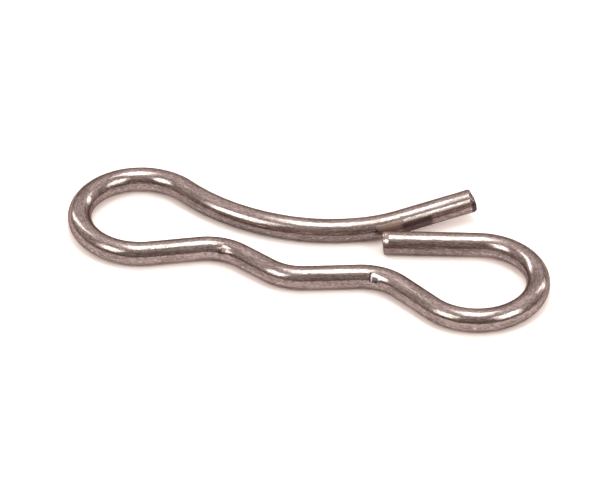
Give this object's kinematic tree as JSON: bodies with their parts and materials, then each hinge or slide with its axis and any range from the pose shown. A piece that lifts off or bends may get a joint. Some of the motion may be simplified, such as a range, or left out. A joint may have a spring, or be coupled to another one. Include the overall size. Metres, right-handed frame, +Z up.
{
  "type": "locking cotter pin",
  "caption": "Safety-pin style cotter bent from one spring wire: round spring bow, long springy arm, shaft seat between two crests and a hooked catch, lying unlatched.",
  "frame": {"origin": "centre of the part's box in plan, on the surface that the pin lies on", "axes": "+X from the spring bow's centre to the catch bow's centre, +Y towards the arm, +Z up out of the plane of the bends"},
  "size_m": [0.042, 0.0166, 0.0027],
  "materials": {
    "wire": "bright drawn spring wire, warm grey, with fine draw lines, small pits and tool marks"
  },
  "bodies": {
    "root": {"clip_wire": "wire"}
  },
  "joints": []
}
